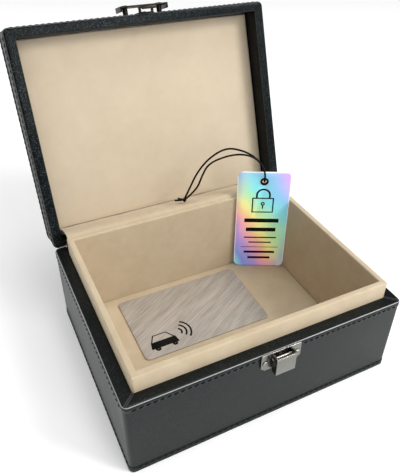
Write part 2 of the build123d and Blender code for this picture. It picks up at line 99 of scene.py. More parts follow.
# Padded pieces
PAD_CELL = 3.5 * MM
PAD_PRESSURE = 4.0
SWELL_FRAMES = 20
HELD_BELOW = 0.05 * MM
FLOOR_CROWN, FLOOR_ROLL = 0.35 * MM, 0.45 * MM
PANEL_CROWN, PANEL_ROLL, PANEL_GAP = 0.9 * MM, 0.6 * MM, 0.3 * MM

# Stitching
STITCH_PITCH = 3.5 * MM
STITCH_LENGTH = 2.7 * MM
STITCH_WIDTH = 0.75 * MM
STITCH_SLANT = radians(10)
STITCH_INSET = 2.9 * MM

# Cord of the tag, in metres
CORD_DIAMETER = 1.2 * MM
CORD_ROUTE = [
    (0.0052, 0.0617, 0.0687),
    (0.0083, 0.0609, 0.0758),
    (0.0129, 0.0595, 0.0872),
    (0.0203, 0.0571, 0.0974),
    (0.0306, 0.0538, 0.1041),
    (0.0413, 0.0504, 0.1012),
    (0.0497, 0.0477, 0.0954),
    (0.0541, 0.0463, 0.0890),
    (0.0563, 0.04643, 0.0843),
    (0.05622, 0.04627, 0.07793),
    (0.0548, 0.04341, 0.07801),
    (0.05488, 0.04356, 0.0842),
    (0.0532, 0.0446, 0.0898),
    (0.0489, 0.0460, 0.0960),
    (0.0403, 0.0487, 0.1000),
    (0.0299, 0.0521, 0.0991),
    (0.0189, 0.0557, 0.0942),
    (0.0149, 0.0570, 0.0846),
    (0.0121, 0.0580, 0.0755),
    (0.0057, 0.0608, 0.0686),
]
KNOT_CENTRE = Vector((0.0045, 0.0612, 0.0676))
KNOT_TAILS = [Vector((-0.0062, 0.0016, 0.0003)), Vector((-0.0046, -0.0004, 0.0026))]

# Tag, its printed ink and the card
TAG_PIVOT = Vector(JOINTS["tag_fold"]["pos_m"])
TAG_ACROSS = Vector(JOINTS["tag_fold"]["axis"]).normalized()
TAG_LEAN = radians(1.6)
TAG_TURN = acos(TAG_ACROSS.x)
TAG_WIDTH, TAG_HEIGHT, TAG_THICKNESS = 35.6 * MM, 77.3 * MM, 0.7 * MM
TAG_CORNER, TAG_EDGE = 4.2 * MM, 0.1 * MM
TAG_PIVOT_RISE = 0.35 * MM
EYELET_DROP, EYELET_HOLE = 7.0 * MM, 2.05 * MM
CURL_REACH, CURL_RADIUS, CURL_STEPS = 5.5 * MM, 6.0 * MM, 6
INK_THICKNESS = 0.03 * MM
CARD_CORNER, CARD_EDGE = 3.2 * MM, 0.12 * MM

# Camera, for a picture of 400 by 473 pixels
IMAGE_WIDTH, IMAGE_HEIGHT = 400, 473
SENSOR = 36.0
FOCAL_PIXELS = 540.7
OPTICAL_CENTRE = (217.83, 228.14)
CAMERA_PLACE = Vector((-0.11548, -0.21409, 0.26337))
CAMERA_AZIMUTH = radians(27.876)
CAMERA_ELEVATION = radians(36.065)
CAMERA_ROLL = radians(1.666)


# ---------------------------------------------------------------- shaping tools


def activate(piece):
    """Make a piece the only selected one."""
    bpy.ops.object.select_all(action="DESELECT")
    bpy.context.view_layer.objects.active = piece
    piece.select_set(True)


def new_object(name, data):
    """A new object in the scene."""
    piece = bpy.data.objects.new(name, data)
    bpy.context.scene.collection.objects.link(piece)
    return piece


def edit_all(piece):
    """Open a piece in edit mode with everything selected."""
    activate(piece)
    bpy.ops.object.mode_set(mode="EDIT")
    bpy.ops.mesh.select_all(action="SELECT")


def new_piece(add, name, scale=(1, 1, 1), turn=(0, 0, 0), **settings):
    """A primitive of its own, its scale and turn taken into its mesh."""
    bpy.ops.object.select_all(action="DESELECT")
    add(**settings)
    piece = bpy.context.object
    piece.name, piece.scale, piece.rotation_euler = name, scale, turn
    bpy.ops.object.transform_apply()
    return piece


def block(name, low, high):
    """A block between two corners."""
    add = bpy.ops.mesh.primitive_cube_add
    return new_piece(add, name, scale=high - low, size=1, location=(low + high) / 2)


def move(piece, matrix):
    """Take a finished piece elsewhere by a matrix, in its mesh."""
    activate(piece)
    piece.matrix_world = matrix
    bpy.ops.object.transform_apply()


def pick(kind, test):
    """Select, in edit mode, the faces, edges or vertices that pass a test."""
    bpy.ops.mesh.select_mode(type=kind)
    bpy.ops.mesh.select_all(action="DESELECT")
    mesh = bmesh.from_edit_mesh(bpy.context.object.data)
    for part in {"FACE": mesh.faces, "EDGE": mesh.edges, "VERT": mesh.verts}[kind]:
        if test(part):
            part.select_set(True)
    bmesh.update_edit_mesh(bpy.context.object.data)


def facing(direction):
    """Test for faces whose normal points in a direction."""
    return lambda face: face.normal.dot(direction) > 0.9


def upright(reach=None):
    """Test for upright edges: all of them, or those at a reach to either side."""

    def test(edge):
        run = edge.verts[1].co - edge.verts[0].co
        return abs(run.normalized().z) > 0.99 and (reach is None or near(abs(middle_of(edge).x), reach))

    return test


def near(value, target):
    """Whether two lengths agree."""
    return abs(value - target) < TOLERANCE


def middle_of(edge):
    """Middle of an edge."""
    return (edge.verts[0].co + edge.verts[1].co) / 2


def level_at(edge, height):
    """Whether an edge lies level at a height."""
    return all(near(vertex.co.z, height) for vertex in edge.verts)


def apply_modifier(piece, kind, **settings):
    """Add a modifier, set it up and apply it."""
    activate(piece)
    modifier = piece.modifiers.new(kind.lower(), kind)
    for key, value in settings.items():
        setattr(modifier, key, value)
    bpy.ops.object.modifier_apply(modifier=modifier.name)


def subtract(piece, cutter):
    """Cut one piece's shape out of another."""
    apply_modifier(piece, "BOOLEAN", object=cutter, operation="DIFFERENCE", solver="MANIFOLD")
    bpy.data.objects.remove(cutter)


def ease_edges(piece, width, segments=2, angle=radians(50)):
    """Ease the edges of a finished piece that are sharper than an angle."""
    apply_modifier(piece, "BEVEL", width=width, segments=segments, limit_method="ANGLE", angle_limit=angle)


def round_edges(test, offset, segments, **settings):
    """Round, in edit mode, the edges that pass a test."""
    pick("EDGE", test)
    bpy.ops.mesh.bevel(offset=offset, segments=segments, **settings)


def smooth(piece, angle=radians(35)):
    """Shade smoothly, with edges sharper than an angle kept crisp."""
    activate(piece)
    bpy.ops.object.shade_smooth_by_angle(angle=angle)


def shut_box(node):
    """Lowest and highest corner that a CAD node of the lid has with the lid shut."""
    corners = np.array([TO_SHUT @ vertex.co for vertex in frame["nodes"][node].data.vertices])
    return Vector(corners.min(0)), Vector(corners.max(0))


def hole_within(low, high, side, front, back):
    """Corners of a hole that leaves rims of these widths in a block."""
    return Vector((low.x + side, low.y + front, low.z)), Vector((high.x - side, high.y - back, high.z))


def leave_open(direction):
    """Leave out, in edit mode, a block's flat face that faces a direction."""
    pick("FACE", facing(direction))
    bpy.ops.mesh.delete(type="FACE")


def open_hole(direction, low, high, hole_low, hole_high, depth):
    """Cut a hole with walls of a depth into the flat face of a block that faces a direction."""
    size, hole_size = high - low, hole_high - hole_low
    middle, hole_middle = (high + low) / 2, (hole_high + hole_low) / 2
    margin = 1 * MM
    pick("FACE", facing(direction))
    bpy.ops.mesh.inset(thickness=margin)
    bpy.ops.transform.resize(
        value=(hole_size.x / (size.x - 2 * margin), hole_size.y / (size.y - 2 * margin), 1),
        center_override=middle,
    )
    bpy.ops.transform.translate(value=(hole_middle.x - middle.x, hole_middle.y - middle.y, 0))
    bpy.ops.mesh.extrude_region_move(TRANSFORM_OT_translate={"value": direction * -depth})
    bpy.ops.mesh.delete(type="FACE")


def crinkle(piece):
    """Give a strip the slight unevenness of a sheet glued by hand."""
    texture = bpy.data.textures.new("gusset_unevenness", "CLOUDS")
    texture.noise_scale = CRINKLE_SIZE
    texture.noise_depth = 1
    apply_modifier(
        piece, "DISPLACE", texture=texture, strength=CRINKLE_DEPTH, texture_coords="LOCAL", mid_level=0.5
    )


def mitre_seams(piece, corners, level):
    """Engrave a fine seam slantwise across each mitred corner of a rim."""
    cutters = []
    for outer, inner in corners:
        run = inner - outer
        middle = (outer + inner) / 2
        half = Vector((run.length / 2 + SEAM_PAST, SEAM_WIDTH / 2, SEAM_DEPTH))
        cutters.append(block("seam", -half, half))
        turn = Matrix.Rotation(atan2(run.y, run.x), 4, "Z")
        move(cutters[-1], Matrix.Translation((middle.x, middle.y, level)) @ turn)
    subtract(piece, join_pieces(cutters, "seams"))


def rim_corners(low, high, hole_low, hole_high, sides):
    """Outer and inner end of the mitre at each corner of a rim, leaving the rounded edge whole."""
    ends = []
    for side in (-1, 1):
        for front in sides:
            outer = Vector((side * high.x, low.y if front else high.y, 0))
            inner = Vector((side * hole_high.x, hole_low.y if front else hole_high.y, 0))
            ends.append((outer.lerp(inner, 0.12), inner))
    return ends


def finish_look(piece, look, replaced=()):
    """Dress a finished piece and hide the CAD nodes that it stands for."""
    piece.data.materials.clear()
    piece.data.materials.append(MATERIALS[look])
    if replaced:
        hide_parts(*replaced)


def finish_piece(piece, body, look, replaced=()):
    """Dress a finished piece and let it ride on its body."""
    finish_look(piece, look, replaced)
    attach(piece, body)


def rounded_copy(node, width, segments=2):
    """A copy of a CAD node with its edges eased."""
    piece = new_object(node + "_eased", frame["nodes"][node].data.copy())
    piece.data.materials.clear()
    edit_all(piece)
    bpy.ops.mesh.remove_doubles(threshold=0.001 * MM)
    bpy.ops.mesh.dissolve_limited(angle_limit=radians(0.5))
    bpy.ops.object.mode_set(mode="OBJECT")
    ease_edges(piece, width, segments, radians(40))
    smooth(piece)
    return piece


# ---------------------------------------------------------------- shader tools


def math_node(operation, reflected=False):
    """A Python operator that adds a Math node, with its operands swapped if it is the reflected form."""

    def operator(signal, *others):
        operands = [*others, signal] if reflected else [signal, *others]
        return signal.finish.add("Math", {"operation": operation}, operands)

    return operator


class Signal:
    """A shader socket that takes part in Python arithmetic."""

    def __init__(self, finish, socket):
        self.finish, self.socket = finish, socket

    __add__ = __radd__ = math_node("ADD")
    __sub__, __rsub__ = math_node("SUBTRACT"), math_node("SUBTRACT", reflected=True)
    __mul__ = __rmul__ = math_node("MULTIPLY")
    __truediv__ = math_node("DIVIDE")
    __abs__ = math_node("ABSOLUTE")


def set_stops(ramp, stops):
    """Give a colour ramp its stops."""
    while len(ramp.elements) < len(stops):
        ramp.elements.new(0.5)
    for element, (place, colour) in zip(ramp.elements, stops):
        element.position, element.color = place, (*colour, 1)


class Finish:
    """A material under construction on the Principled shader."""

    def __init__(self, name, colour, **sockets):
        self.material = bpy.data.materials.new(name)
        self.material.use_nodes = True
        self.material.diffuse_color = (*colour, 1)
        self.tree = self.material.node_tree
        self.shader = self.tree.nodes["Principled BSDF"]
        self.shader.inputs["Base Color"].default_value = (*colour, 1)
        for name, value in sockets.items():
            self.shader.inputs[name.replace("_", " ")].default_value = value

    def add(self, kind, settings=None, inputs=(), output=0):
        """Add a node: its settings first, then the values or links of its sockets; gives one output."""
        node = self.tree.nodes.new("ShaderNode" + kind)
        for key, value in (settings or {}).items():
            if key == "stops":
                set_stops(node.color_ramp, value)
            else:
                setattr(node, key, value)
        pairs = inputs.items() if isinstance(inputs, dict) else enumerate(inputs)
        for key, value in pairs:
            if isinstance(value, Signal):
                self.tree.links.new(value.socket, node.inputs[key])
            else:
                node.inputs[key].default_value = value
        return Signal(self, node.outputs[output])

    def place(self, turn=(0, 0, 0), shift=(0, 0, 0)):
        """Position on the piece, turned and shifted."""
        where = self.add("TexCoord", output="Object")
        moved = self.add("Mapping", {"vector_type": "POINT"}, {"Vector": where, "Location": shift})
        return self.add("Mapping", {"vector_type": "POINT"}, {"Vector": moved, "Rotation": turn})

    def turned_normal(self, turn=(0, 0, 0)):
        """Direction the surface faces on the piece, turned."""
        normal = self.add("TexCoord", output="Normal")
        return self.add("Mapping", {"vector_type": "VECTOR"}, {"Vector": normal, "Rotation": turn})

    def split(self, vector):
        """The three components of a vector."""
        return [self.add("SeparateXYZ", inputs=[vector], output=axis) for axis in range(3)]

    def join(self, x, y, z):
        """A vector from three components."""
        return self.add("CombineXYZ", inputs=[x, y, z])

    def noise(self, vector, size, detail=2.0, roughness=0.5, distortion=0.0):
        """Noise of a grain size in metres, from 0 to 1."""
        return self.add(
            "TexNoise",
            inputs={"Vector": vector, "Scale": 1 / size, "Detail": detail, "Roughness": roughness,
                    "Distortion": distortion},
        )

    def mix(self, factor, first, second):
        """Blend two colours."""
        first, second = ((*colour, 1) if isinstance(colour, tuple) else colour for colour in (first, second))
        return self.add("Mix", {"data_type": "RGBA"}, {0: factor, 6: first, 7: second}, output=2)

    def ramp(self, factor, stops):
        """A colour ramp."""
        return self.add("ValToRGB", {"stops": stops}, [factor])

    def within(self, value, low, high):
        """Value brought from low..high to 0..1 and clipped."""
        return self.add("MapRange", {"clamp": True}, [value, low, high, 0.0, 1.0])

    def drive(self, socket, signal):
        """Link a signal to one of the shader's sockets."""
        self.tree.links.new(signal.socket, self.shader.inputs[socket])

    def relief(self, height, distance, strength=1.0):
        """Bump from a height between 0 and 1 that stands for a distance in metres."""
        normal = self.add("Bump", inputs={"Height": height, "Distance": distance, "Strength": strength})
        self.drive("Normal", normal)


def painted_mitre_highlight(finish, where, outer, inner):
    """Share of a painted highlight on the lips of the mitre seams, which run inwards from a rim's two front
    corners.
    """
    x, y, _ = finish.split(where)
    run = (inner - outer).normalized()
    across = abs((abs(x) - outer.x) * run.y - (y - outer.y) * run.x)
    return finish.within(1 - abs(across - SEAM_WIDTH) / (0.3 * MM), 0.0, 0.6)


def leathercloth(name, grain_share, roll_side, painted_highlight_strength, coat, turn=(0, 0, 0), mitre=None):
    """Black leathercloth: pebbled grain, faint mottling, paler worn crests and a painted highlight along the
    rolled edges.
    """
    finish = Finish(
        name, (0.010, 0.011, 0.012), Roughness=0.4, Specular_IOR_Level=coat * 0.8, Coat_Weight=coat,
        Coat_Roughness=0.14,
    )
    finish.shader.inputs["Specular Tint"].default_value = (0.80, 1.0, 1.0, 1)
    where = finish.place(turn)
    cells = finish.add(
        "TexVoronoi", {"feature": "F1"}, {"Vector": where, "Scale": 1 / GRAIN_PITCH, "Randomness": 0.85},
    )
    grain = 1 - finish.within(cells, 0.12, 0.55)
    fine = finish.noise(where, 0.5 * MM, 3.0, 0.6)
    patches = finish.noise(where, 5 * MM, 2.0)
    mottle = finish.noise(where, 18 * MM, 3.0)
    worn = finish.within(mottle * 0.4 + patches * 0.6, 0.3, 0.7)
    height = grain * (0.75 * grain_share) + fine * 0.25
    facing_up = finish.split(finish.turned_normal(turn))[2] * roll_side
    flat = finish.within(abs(facing_up), 0.9, 0.99)
    tone = height * (0.6 + worn * 0.4) * (1 - 0.45 * grain_share + flat * (0.45 * grain_share))
    crest = tuple(shade * (1 + 7 * grain_share) for shade in (0.0150, 0.0180, 0.0200))
    colour = finish.ramp(
        tone, [(0.1 + 0.16 * grain_share, (0.0016, 0.0021, 0.0022)), (0.5 + 0.3 * grain_share, crest)]
    )
    # Painted highlight: the rolled edges, picked by the way they face, are made pale where the lamps would glint
    # on the roll.
    roll = finish.within(1 - abs(facing_up - 0.7) / 0.18, 0.0, 1.0) * (0.5 + fine)
    colour = finish.mix(roll * painted_highlight_strength, colour, (0.52, 0.53, 0.54))
    if mitre:
        # Painted highlight: a pale line along a lip of each mitre seam on the rim's top.
        colour = finish.mix(painted_mitre_highlight(finish, where, *mitre) * flat, colour, (0.055, 0.058, 0.06))
    finish.drive("Base Color", colour)
    finish.drive("Roughness", 0.30 + mottle * 0.12 + fine * 0.16)
    finish.relief(height + patches * 0.3, 0.2 * MM, 0.4 + 0.4 * grain_share)
    return finish.material


def microsuede(name, colour, shade, turn=(0, 0, 0)):
    """Short-pile suede: brushed patches, fine fibre and a soft sheen."""
    finish = Finish(
        name, colour, Roughness=0.95, Sheen_Weight=0.25, Sheen_Roughness=0.5, Specular_IOR_Level=0.15,
    )
    finish.shader.inputs["Sheen Tint"].default_value = (1.0, 0.93, 0.82, 1)
    where = finish.place(turn)
    brushed = finish.noise(where, 22 * MM, 3.0, 0.55, 0.6)
    patches = finish.noise(where, 6 * MM, 2.0, 0.6)
    fibre = finish.noise(where, 0.55 * MM, 4.0, 0.7)
    tone = brushed * 0.5 + patches * 0.25 + fibre * 0.25
    finish.drive("Base Color", finish.mix(finish.within(tone, 0.3, 0.7), shade, colour))
    finish.drive("Roughness", 0.88 + fibre * 0.12)
    finish.relief(fibre * 0.6 + patches * 0.4, 0.12 * MM, 0.45)
    return finish.material


def satin_nickel(name, colour, roughness, brushed_axis, painted_side_shade=0.0):
    """Nickel plate with fine brushed lines along one axis; given a side shade, also a painted highlight on its
    top-front edges and painted shade on its side cheeks.
    """
    finish = Finish(name, colour, Metallic=1.0, Roughness=roughness)
    x, y, z = finish.split(finish.place())
    stretch = [0.04 if axis == brushed_axis else 1.0 for axis in range(3)]
    lines = finish.noise(finish.join(x * stretch[0], y * stretch[1], z * stretch[2]), 0.16 * MM, 3.0, 0.6)
    smudge = finish.noise(finish.place(), 3 * MM, 2.0)
    tint = finish.mix(lines, tuple(c * 0.8 for c in colour), tuple(min(1, c * 1.15) for c in colour))
    if painted_side_shade:
        # Painted shade on the side cheeks and a painted highlight on the top-front edges, both picked by the way
        # the faces point.
        side, front, top = finish.split(finish.turned_normal())
        painted_cheek_shade = finish.within(abs(side), 0.5, 0.8) * painted_side_shade
        edge = finish.within(top, 0.15, 0.4) * finish.within(front * -1, 0.15, 0.4)
        tint = finish.mix(edge, finish.mix(painted_cheek_shade, tint, (0.012, 0.012, 0.011)), (0.95, 0.95, 0.92))
    finish.drive("Base Color", tint)
    finish.drive("Roughness", roughness - 0.08 + lines * 0.16 + smudge * 0.1)
    finish.relief(lines, 0.02 * MM, 0.4)
    return finish.material


def plain_fibre(name, dark, light, size, roughness):
    """A hidden or small fibrous piece: board, foam, thread or cord."""
    finish = Finish(name, light, Roughness=roughness, Specular_IOR_Level=0.15)
    where = finish.place()
    grain = finish.noise(where, size, 4.0, 0.65)
    finish.drive("Base Color", finish.mix(finish.within(grain, 0.3, 0.7), dark, light))
    finish.relief(grain, size * 0.2, 0.5)
    return finish.material


def card_print():
    """Taupe card with fine diagonal brushed streaks."""
    finish = Finish("card_taupe", (0.40, 0.36, 0.32), Roughness=0.42, Coat_Weight=0.25, Coat_Roughness=0.3)
    x, y, _ = finish.split(finish.place())
    across, lengthwise = x * 0.86 + y * 0.51, x * 0.51 - y * 0.86
    streaks = finish.noise(finish.join(across * 0.06, lengthwise, 0.0), 1.1 * MM, 4.0, 0.7)
    broad = finish.noise(finish.join(across * 0.1, lengthwise, 0.0), 5 * MM, 2.0)
    tone = finish.within(streaks * 0.65 + broad * 0.35, 0.32, 0.68)
    finish.drive("Base Color", finish.mix(tone, (0.25, 0.215, 0.18), (0.52, 0.475, 0.42)))
    finish.drive("Roughness", 0.34 + streaks * 0.2)
    finish.relief(streaks, 0.03 * MM, 0.5)
    return finish.material


def holographic_film():
    """Glossy card under a pale rainbow film that glows a little in its own colours, as painted light."""
    finish = Finish(
        "rainbow_film", (0.6, 0.66, 0.8), Roughness=0.22, Coat_Weight=0.3, Coat_Roughness=0.08,
        Emission_Strength=0.3,
    )
    where = finish.place(shift=tuple(-TAG_PIVOT))
    x, y, z = finish.split(where)
    across = (x * cos(TAG_TURN) - y * sin(TAG_TURN)) / TAG_WIDTH
    up = z / TAG_HEIGHT
    drift = (finish.noise(where, 26 * MM, 2.0, 0.5) - 0.5) * 0.3
    sweep = across * 0.46 + up * 0.62 + drift + 0.01
    colour = finish.ramp(
        sweep,
        [
            (0.03, (0.30, 0.78, 0.92)),
            (0.12, (0.24, 0.34, 0.88)),
            (0.24, (0.50, 0.34, 0.80)),
            (0.33, (0.92, 0.42, 0.52)),
            (0.41, (0.98, 0.60, 0.34)),
            (0.50, (0.92, 0.92, 0.34)),
            (0.60, (0.48, 0.90, 0.52)),
            (0.72, (0.26, 0.82, 0.88)),
            (0.90, (0.30, 0.62, 0.96)),
            (1.00, (0.64, 0.42, 0.90)),
        ],
    )
    corner = finish.within(abs(up - across), 0.55, 0.95) * 0.75
    colour = finish.mix(corner, colour, (0.34, 0.38, 0.78))
    sides, top = finish.within(abs(across - 0.5), 0.485, 0.495), finish.within(up, 0.985, 0.995)
    edge = finish.add("Math", {"operation": "MAXIMUM"}, [sides, top])
    colour = finish.mix(edge, colour, (0.92, 0.92, 0.92))
    finish.drive("Base Color", colour)
    # Painted light: the film glows in its own colours, though it is no lamp.
    finish.drive("Emission Color", colour)
    glitter = finish.noise(where, 0.5 * MM, 2.0)
    finish.drive("Roughness", 0.18 + glitter * 0.12)
    finish.relief(glitter, 0.01 * MM, 0.3)
    return finish.material


def printed_ink(name, colour, roughness=0.5):
    """Printed ink with a faint unevenness."""
    finish = Finish(name, colour, Roughness=roughness, Specular_IOR_Level=0.12)
    blot = finish.noise(finish.place(), 0.4 * MM, 2.0)
    finish.drive("Base Color", finish.mix(blot, colour, tuple(c * 1.35 for c in colour)))
    return finish.material


RIM_CORNER, TRAY_CORNER = (
    Vector((high.x, low.y, 0)) for low, high in (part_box("base_wrap"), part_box("liner_cover"))
)

MATERIALS = {
    "base_leather": leathercloth(
        "leathercloth_base", grain_share=0.3, roll_side=1, painted_highlight_strength=0.9, coat=0.2,
        mitre=(RIM_CORNER, TRAY_CORNER),
    ),
    "lid_leather": leathercloth(
        "leathercloth_lid", grain_share=0.58, roll_side=-1, painted_highlight_strength=0.3, coat=0.09, turn=LID_TILT,
    ),
    "suede": microsuede("microsuede", (0.60, 0.50, 0.36), (0.49, 0.385, 0.255)),
    # The lid's suede: a paler copy of the tray's suede, with the extra light on the lid's panel painted into its
    # colour; it also lies turned with the lid.
    "lid_suede_painted_light": microsuede("microsuede_lid", (0.62, 0.52, 0.385), (0.55, 0.455, 0.33), LID_TILT),
    "nickel": satin_nickel("satin_nickel", (0.215, 0.212, 0.19), 0.24, 0, 0.9),
    # A dark copy of the satin nickel: painted shade for the catch's pieces, its rivets and the tag's eyelet.
    "nickel_in_painted_shade": satin_nickel("nickel_in_painted_shade", (0.028, 0.024, 0.020), 0.36, 0),
    "steel": satin_nickel("drawn_steel", (0.78, 0.70, 0.60), 0.42, 1),
    "board": plain_fibre("pressed_board", (0.20, 0.15, 0.10), (0.36, 0.28, 0.19), 0.8 * MM, 0.9),
    "shielding": satin_nickel("shielding_cloth", (0.62, 0.62, 0.60), 0.4, 1),
    "foam": plain_fibre("white_foam", (0.62, 0.60, 0.54), (0.8, 0.78, 0.72), 0.6 * MM, 0.95),
    "thread": plain_fibre("waxed_thread", (0.0015, 0.0015, 0.002), (0.005, 0.005, 0.006), 0.25 * MM, 0.7),
    "cord": plain_fibre("elastic_cord", (0.001, 0.001, 0.0012), (0.006, 0.006, 0.007), 0.3 * MM, 0.7),
    "card": card_print(),
    "film": holographic_film(),
    "ink": printed_ink("dark_ink", (0.006, 0.0055, 0.005), 0.7),
}


# ---------------------------------------------------------------- coverings of the box


def base_leather():
    """Leathercloth round the base: walls, rolled rim with mitred corners, and the rim turned down inside."""
    low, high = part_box("base_wrap")
    tray_low, tray_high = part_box("liner_cover")
    piece = block("base_leather", low, high)
    edit_all(piece)
    leave_open(-UP)
    open_hole(UP, low, high, tray_low, tray_high, TURN_DOWN)
    round_edges(upright(high.x), CORNER_RADIUS, 8)
    recess_between_hems(low, high, low.z + HEM_HEIGHT, high.z - HEM_HEIGHT)
    round_edges(lambda e: on_outline(e, low, high, high.z) and not at_back(e, high), RIM_ROLL, 6)
    make_hinge_room(lambda e: at_back(e, high) and near(e.verts[0].co.z, high.z))
    bpy.ops.object.mode_set(mode="OBJECT")
    apply_modifier(piece, "SOLIDIFY", thickness=LEATHER_THICKNESS, offset=-1)
    spine_low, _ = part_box("hinge_spine")
    notch_for_spine(piece, spine_low.y - CUT_PAST, high.y, spine_low.z - STRIP_ROOM, high.z + CUT_PAST)
    mitre_seams(piece, rim_corners(low, high, tray_low, tray_high, (True,)), high.z)
    smooth(piece)
    finish_piece(piece, "root", "base_leather", ["base_wrap"])


def lid_leather():
    """Leathercloth round the lid: top, walls, rolled edges and the inside turned down to the panel."""
    low, high = shut_box("lid_wrap")
    panel_low, _ = shut_box("lid_panel_cover")
    hole = hole_within(low, high, LID_RIM_SIDE, LID_RIM_FRONT, LID_RIM_BACK)
    piece = block("lid_leather", low, high)
    edit_all(piece)
    open_hole(-UP, low, high, *hole, panel_low.z - low.z + TURN_DOWN)
    round_edges(lambda e: level_at(e, low.z) and is_inside(e, low, high), INNER_ROLL, 4)
    round_edges(upright(high.x), CORNER_RADIUS, 8)
    recess_between_hems(low, high, low.z + HEM_HEIGHT, high.z - LID_EDGE_ROLL - HEM_HEIGHT)
    round_edges(lambda e: on_outline(e, low, high, high.z), LID_EDGE_ROLL, 6)
    round_edges(lambda e: on_outline(e, low, high, low.z) and not at_back(e, high), RIM_ROLL, 6)
    make_hinge_room(lambda e: at_back(e, high) and level_at(e, low.z))
    bpy.ops.object.mode_set(mode="OBJECT")
    apply_modifier(piece, "SOLIDIFY", thickness=LID_LEATHER_THICKNESS, offset=-1)
    notch_for_spine(piece, HINGE.y - LID_NOTCH_DEPTH, high.y, low.z - CUT_PAST, HINGE.z + LID_NOTCH_REACH)
    mitre_seams(piece, rim_corners(low, high, *hole, (True, False)), low.z)
    move(piece, TO_OPEN)
    smooth(piece)
    finish_piece(piece, "lid", "lid_leather", ["lid_wrap"])


def recess_between_hems(low, high, lower, upper):
    """Sink the walls between two heights, so that a hem stands proud above and below them."""
    for height in (lower, upper):
        bpy.ops.mesh.select_all(action="SELECT")
        bpy.ops.mesh.bisect(plane_co=(0, 0, height), plane_no=UP)
    pick("FACE", lambda f: is_wall(f, low, high) and lower < f.calc_center_median().z < upper)
    bpy.ops.mesh.extrude_region_shrink_fatten(TRANSFORM_OT_shrink_fatten={"value": -HEM_THICKNESS})
    round_edges(
        lambda e: (level_at(e, lower) or level_at(e, upper)) and is_wall_edge(e, low, high),
        HEM_THICKNESS * 0.6, 2,
    )


def make_hinge_room(test):
    """Ease the edges at the hinge that pass a test, so that the lid and the base clear each other."""
    round_edges(test, HINGE_ROOM, 2, profile=HINGE_ROOM_PROFILE)


def notch_for_spine(piece, front, back, bottom, top):
    """Cut the back of a covering away where the spine takes its place."""
    spine_low, spine_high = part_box("hinge_spine")
    low = Vector((spine_low.x - STRIP_ROOM, front, bottom))
    high = Vector((spine_high.x + STRIP_ROOM, back + CUT_PAST, top))
    subtract(piece, block("notch", low, high))


def outline_reach(place, low, high):
    """How far a point lies past the line that runs a corner radius inside the walls' outline."""
    over_x = abs(place.x) - (high.x - CORNER_RADIUS)
    over_y = abs(place.y - (low.y + high.y) / 2) - ((high.y - low.y) / 2 - CORNER_RADIUS)
    return Vector((over_x, over_y)).length if min(over_x, over_y) > 0 else max(over_x, over_y)


def is_wall(face, low, high):
    """Whether a face belongs to the outside of the walls."""
    reach = outline_reach(face.calc_center_median(), low, high)
    return abs(face.normal.z) < 0.1 and reach > CORNER_RADIUS * 0.5


def is_wall_edge(edge, low, high):
    """Whether an edge lies on the outermost outline of the walls."""
    outermost = CORNER_RADIUS - HEM_THICKNESS * 0.3
    return all(outline_reach(vertex.co, low, high) > outermost for vertex in edge.verts)


def on_outline(edge, low, high, level):
    """Whether an edge lies at a level, on the outline that the rounded corners give a block."""
    return level_at(edge, level) and outline_reach(middle_of(edge), low, high) > CORNER_RADIUS * 0.95


def is_inside(edge, low, high):
    """Whether an edge lies well inside the outline of a block."""
    return all(outline_reach(vertex.co, low, high) < CORNER_RADIUS - 1 * MM for vertex in edge.verts)


def at_back(edge, high):
    """Whether an edge runs along the straight stretch of the back."""
    return all(near(vertex.co.y, high.y) for vertex in edge.verts)


def is_mitre(edge):
    """Whether an edge runs slantwise across a corner."""
    run = edge.verts[1].co - edge.verts[0].co
    return min(abs(run.x), abs(run.y)) > 0.1 * MM


def tray_suede():
    """Suede over the tray's walls, with soft top edges."""
    low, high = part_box("liner_cover")
    piece = block("tray_suede", low, high)
    edit_all(piece)
    leave_open(-UP)
    open_hole(UP, low, high, *hole_within(low, high, TRAY_WALL, TRAY_WALL, TRAY_WALL), high.z - low.z)
    round_edges(lambda e: level_at(e, high.z) and not is_mitre(e), SUEDE_ROLL, 5)
    round_edges(upright(high.x), TRAY_CORNER_RADIUS, 4)
    bpy.ops.object.mode_set(mode="OBJECT")
    apply_modifier(piece, "SOLIDIFY", thickness=SUEDE_THICKNESS, offset=-1)
    smooth(piece, radians(50))
    finish_piece(piece, "root", "suede", ["liner_cover"])


def swell(piece, foot_of_roll, crown):
    """Swell a pad in a cloth simulation; its foot stays, and no point moves further than the crown."""
    rest = np.array([vertex.co for vertex in piece.data.vertices])
    group = piece.vertex_groups.new(name="held")
    held = [vertex.index for vertex in piece.data.vertices if vertex.co.z < foot_of_roll - HELD_BELOW]
    group.add(held, 1.0, "REPLACE")
    cloth = piece.modifiers.new("swell", "CLOTH")
    cloth.settings.use_pressure = True
    cloth.settings.uniform_pressure_force = PAD_PRESSURE
    cloth.settings.effector_weights.gravity = 0
    cloth.settings.vertex_group_mass = "held"
    cloth.collision_settings.use_collision = False
    for step in range(1, SWELL_FRAMES + 1):
        bpy.context.scene.frame_set(step)
    activate(piece)
    bpy.ops.object.modifier_apply(modifier=cloth.name)
    bpy.context.scene.frame_set(1)
    moves = np.array([vertex.co for vertex in piece.data.vertices]) - rest
    longest = np.linalg.norm(moves, axis=1).max()
    shares = moves * min(1.0, crown / longest)
    for vertex, place, step in zip(piece.data.vertices, rest, shares):
        vertex.co = place + step
    piece.vertex_groups.clear()


